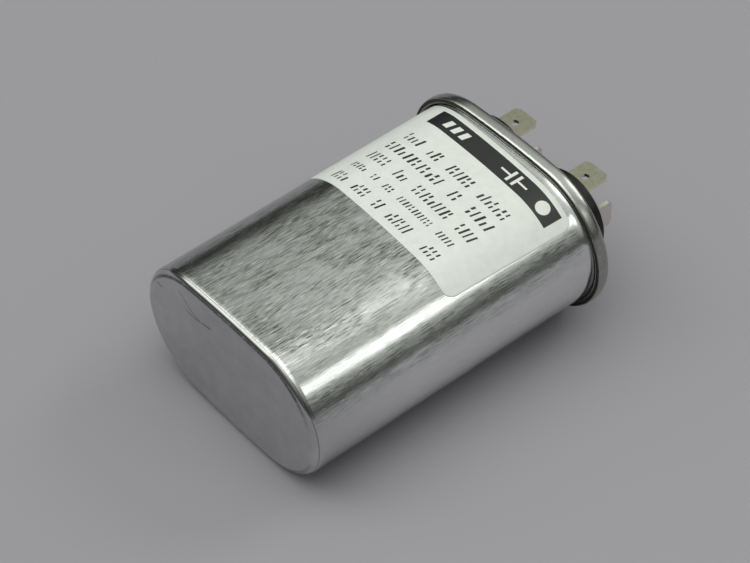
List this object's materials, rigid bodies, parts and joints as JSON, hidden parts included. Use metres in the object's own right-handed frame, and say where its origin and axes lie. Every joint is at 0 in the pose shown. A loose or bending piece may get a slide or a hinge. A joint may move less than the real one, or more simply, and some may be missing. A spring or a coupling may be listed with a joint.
{
  "type": "motor run capacitor",
  "caption": "Oval oil-filled motor run capacitor: drawn aluminium can with a seamed cover and quick-connect blades in black insulating cups.",
  "frame": {"origin": "centre of the can's flat closed end", "axes": "+Y along the can from the closed end to the terminals, +Z out of the labelled flat face, +X across the can's width; the can lies on its back"},
  "size_m": [0.0554, 0.0853, 0.0352],
  "materials": {
    "can_aluminium": "bright drawn aluminium with fine scuffs along the can",
    "cover_tinplate": "bright tinplate",
    "seam_rubber": "sealing compound",
    "label_film": "glossy white label film with plain dark bars",
    "cup_plastic": "moulded, semi-gloss black",
    "gasket_rubber": "soft rubber",
    "terminal_brass": "dull tin plate over brass",
    "rivet_brass": "tin plate over brass",
    "bush_board": "laminated insulating board",
    "contact_brass": "plain brass",
    "tray_plastic": "moulded natural plastic",
    "lead_ribbon": "tinned copper ribbon",
    "sleeve_plastic": "varnished sleeving",
    "roll_film": "metallised film, bright at its turns",
    "core_plastic": "natural plastic tube",
    "zinc_spray": "rough sprayed zinc",
    "wrap_film": "clear plain film"
  },
  "bodies": {
    "root": {"can": "can_aluminium", "cover": "cover_tinplate", "seam_compound": "seam_rubber", "label": "label_film", "cup_left": "cup_plastic", "cup_right": "cup_plastic", "cup_gasket_left": "gasket_rubber", "cup_gasket_right": "gasket_rubber", "terminal_left": "terminal_brass", "terminal_right": "terminal_brass", "rivet_left": "rivet_brass", "rivet_right": "rivet_brass", "inner_bush_left": "bush_board", "inner_bush_right": "bush_board", "contact_washer_left": "contact_brass", "contact_washer_right": "contact_brass", "interrupter_tray": "tray_plastic", "short_lead": "lead_ribbon", "long_lead": "lead_ribbon", "lead_sleeve": "sleeve_plastic", "film_roll": "roll_film", "core_tube": "core_plastic", "end_spray_top": "zinc_spray", "end_spray_bottom": "zinc_spray", "roll_wrap": "wrap_film", "base_pad": "tray_plastic"}
  },
  "joints": []
}
